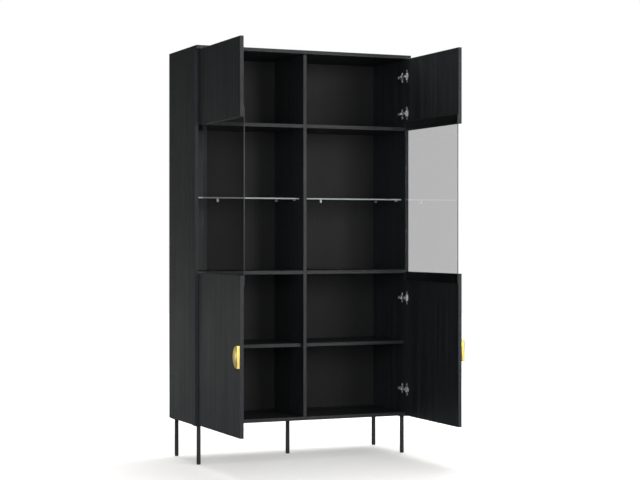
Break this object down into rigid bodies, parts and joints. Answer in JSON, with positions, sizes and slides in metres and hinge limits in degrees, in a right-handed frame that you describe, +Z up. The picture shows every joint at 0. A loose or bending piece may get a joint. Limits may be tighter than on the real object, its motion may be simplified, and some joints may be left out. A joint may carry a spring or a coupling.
{
  "type": "china cabinet",
  "caption": "Tall narrow-legged display cabinet with a centre divider, hinged doors with a smoked glass window between solid panels, glass and board shelves and half-moon pulls.",
  "frame": {"origin": "on the floor, in the middle of the centre leg's foot", "axes": "+X to the right seen from the front, +Y to the back, +Z up; the doors are at the front, towards -Y"},
  "size_m": [1.0578, 0.895, 1.845],
  "materials": {
    "black_oak_board": "satin black oak-grain foil",
    "back_board": "satin black",
    "smoked_glass": "polished grey-tinted",
    "shelf_glass": "polished clear",
    "black_steel": "fine-textured matte powder coat",
    "nickel": "nickel plated",
    "brushed_gold": "satin brushed"
  },
  "bodies": {
    "carcass": {"top_panel": "black_oak_board", "bottom_panel": "black_oak_board", "left_side": "black_oak_board", "right_side": "black_oak_board", "centre_divider": "black_oak_board", "back_panel": "back_board", "left_middle_shelf": "black_oak_board", "left_upper_shelf": "black_oak_board", "left_board_shelf": "black_oak_board", "left_glass_shelf": "shelf_glass", "left_front_shelf_pin": "nickel", "left_rear_shelf_pin": "nickel", "left_clip_light": "nickel", "right_middle_shelf": "black_oak_board", "right_upper_shelf": "black_oak_board", "right_board_shelf": "black_oak_board", "right_glass_shelf": "shelf_glass", "right_front_shelf_pin": "nickel", "right_rear_shelf_pin": "nickel", "right_clip_light": "nickel", "divider_front_shelf_pin": "nickel", "divider_rear_shelf_pin": "nickel", "centre_leg": "black_steel", "front_left_leg": "black_steel", "rear_left_leg": "black_steel", "front_right_leg": "black_steel", "rear_right_leg": "black_steel", "left_hinge_arm_1": "nickel", "left_hinge_arm_2": "nickel", "left_hinge_arm_3": "nickel", "left_hinge_arm_4": "nickel", "right_hinge_arm_1": "nickel", "right_hinge_arm_2": "nickel", "right_hinge_arm_3": "nickel", "right_hinge_arm_4": "nickel"},
    "left_door": {"left_door_lower_panel": "black_oak_board", "left_door_upper_panel": "black_oak_board", "left_door_glass": "smoked_glass", "left_pull": "brushed_gold", "left_hinge_cup_1": "nickel", "left_hinge_cup_2": "nickel", "left_hinge_cup_3": "nickel", "left_hinge_cup_4": "nickel"},
    "right_door": {"right_door_lower_panel": "black_oak_board", "right_door_upper_panel": "black_oak_board", "right_door_glass": "smoked_glass", "right_pull": "brushed_gold", "right_hinge_cup_1": "nickel", "right_hinge_cup_2": "nickel", "right_hinge_cup_3": "nickel", "right_hinge_cup_4": "nickel"},
    "left_links": {"left_hinge_link_1": "nickel", "left_hinge_link_2": "nickel", "left_hinge_link_3": "nickel", "left_hinge_link_4": "nickel"},
    "right_links": {"right_hinge_link_1": "nickel", "right_hinge_link_2": "nickel", "right_hinge_link_3": "nickel", "right_hinge_link_4": "nickel"}
  },
  "joints": [
    {"name": "left_door_hinge", "type": "hinge", "parent": "carcass", "child": "left_door", "pos_m": [-0.5138, -0.2292, 1], "axis": [0, 0, 1], "range_deg": [-20, 90]},
    {"name": "right_door_hinge", "type": "hinge", "parent": "carcass", "child": "right_door", "pos_m": [0.5138, -0.2292, 1], "axis": [0, 0, -1], "range_deg": [-20, 90]},
    {"name": "left_link_swing", "type": "hinge", "parent": "carcass", "child": "left_links", "pos_m": [-0.4845, -0.209, 1], "axis": [0, 0, 1], "range_deg": [-33.5, 7.8]},
    {"name": "right_link_swing", "type": "hinge", "parent": "carcass", "child": "right_links", "pos_m": [0.4845, -0.209, 1], "axis": [0, 0, -1], "range_deg": [-33.5, 7.8]}
  ],
  "couplings": [
    {"joint": "left_link_swing", "follows": "left_door_hinge", "ratio": -0.3665},
    {"joint": "right_link_swing", "follows": "right_door_hinge", "ratio": -0.3665}
  ]
}
